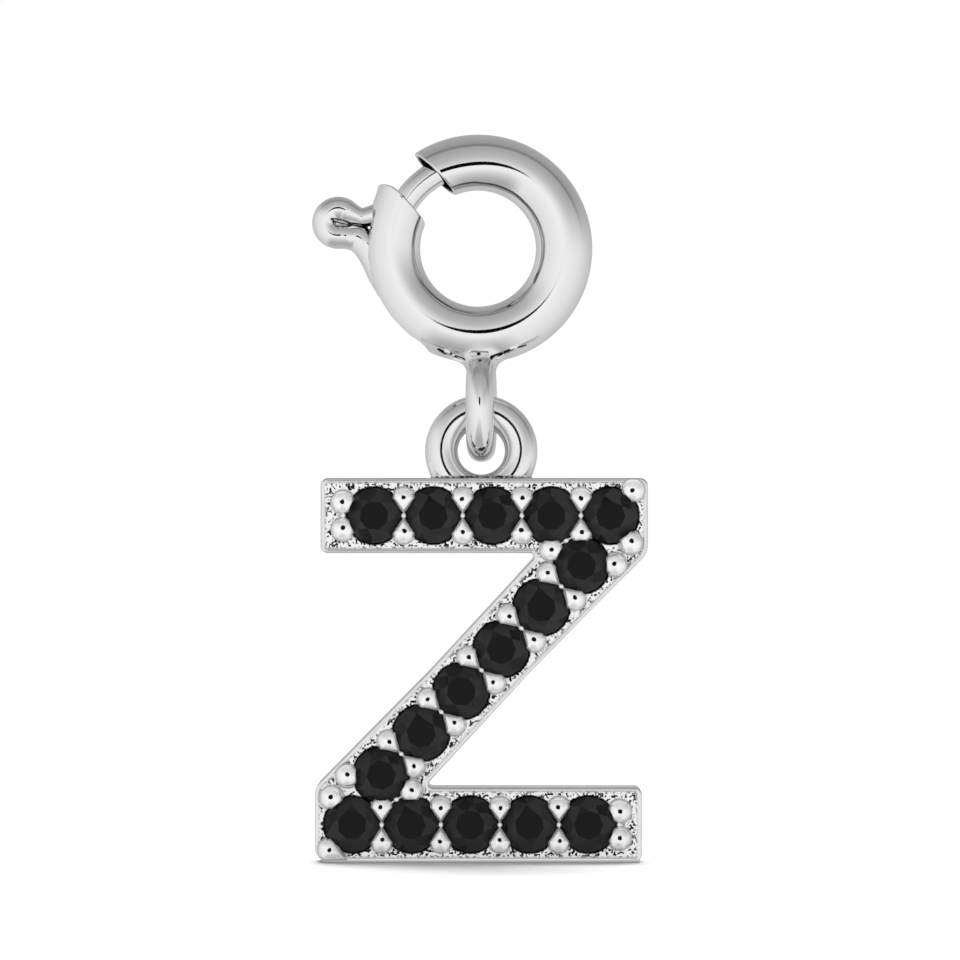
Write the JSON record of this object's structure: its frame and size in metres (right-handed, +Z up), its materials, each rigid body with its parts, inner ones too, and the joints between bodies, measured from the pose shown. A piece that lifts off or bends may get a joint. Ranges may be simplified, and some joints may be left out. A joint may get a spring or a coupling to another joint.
{
  "type": "initial pendant",
  "caption": "Letter Z charm set with round black stones, hanging by its loop from the eye of a bolt ring clasp that snaps onto a chain.",
  "frame": {"origin": "inside top of the ring clasp, where a chain carries it; the pendant hangs down from it", "axes": "+Z up, +X to the right seen from the front, -Y towards the viewer, the side that the stones face"},
  "size_m": [0.0103, 0.0032, 0.0222],
  "materials": {
    "silver": "polished white metal; the letter's face between its smooth edge and the stones is a fine cast grain",
    "black_stone": "glossy, faceted and near black, opaque"
  },
  "bodies": {
    "clasp": {"ring_shell": "silver"},
    "trigger": {"trigger": "silver"},
    "letter": {"letter": "silver", "stone_01": "black_stone", "stone_02": "black_stone", "stone_03": "black_stone", "stone_04": "black_stone", "stone_05": "black_stone", "stone_06": "black_stone", "stone_07": "black_stone", "stone_08": "black_stone", "stone_09": "black_stone", "stone_10": "black_stone", "stone_11": "black_stone", "stone_12": "black_stone", "stone_13": "black_stone", "stone_14": "black_stone", "stone_15": "black_stone", "stone_16": "black_stone"}
  },
  "joints": [
    {"name": "trigger", "type": "hinge", "parent": "clasp", "child": "trigger", "pos_m": [0, 0, -0.00177], "axis": [0, -1, 0], "range_deg": [0, 32.5], "stiffness_Nm_per_rad": 0.002, "springref_deg": -28.65},
    {"name": "letter_swing", "type": "hinge", "parent": "clasp", "child": "letter", "pos_m": [0.0001, 0, -0.00675], "axis": [1, 0, 0], "range_deg": [-120, 120]}
  ]
}
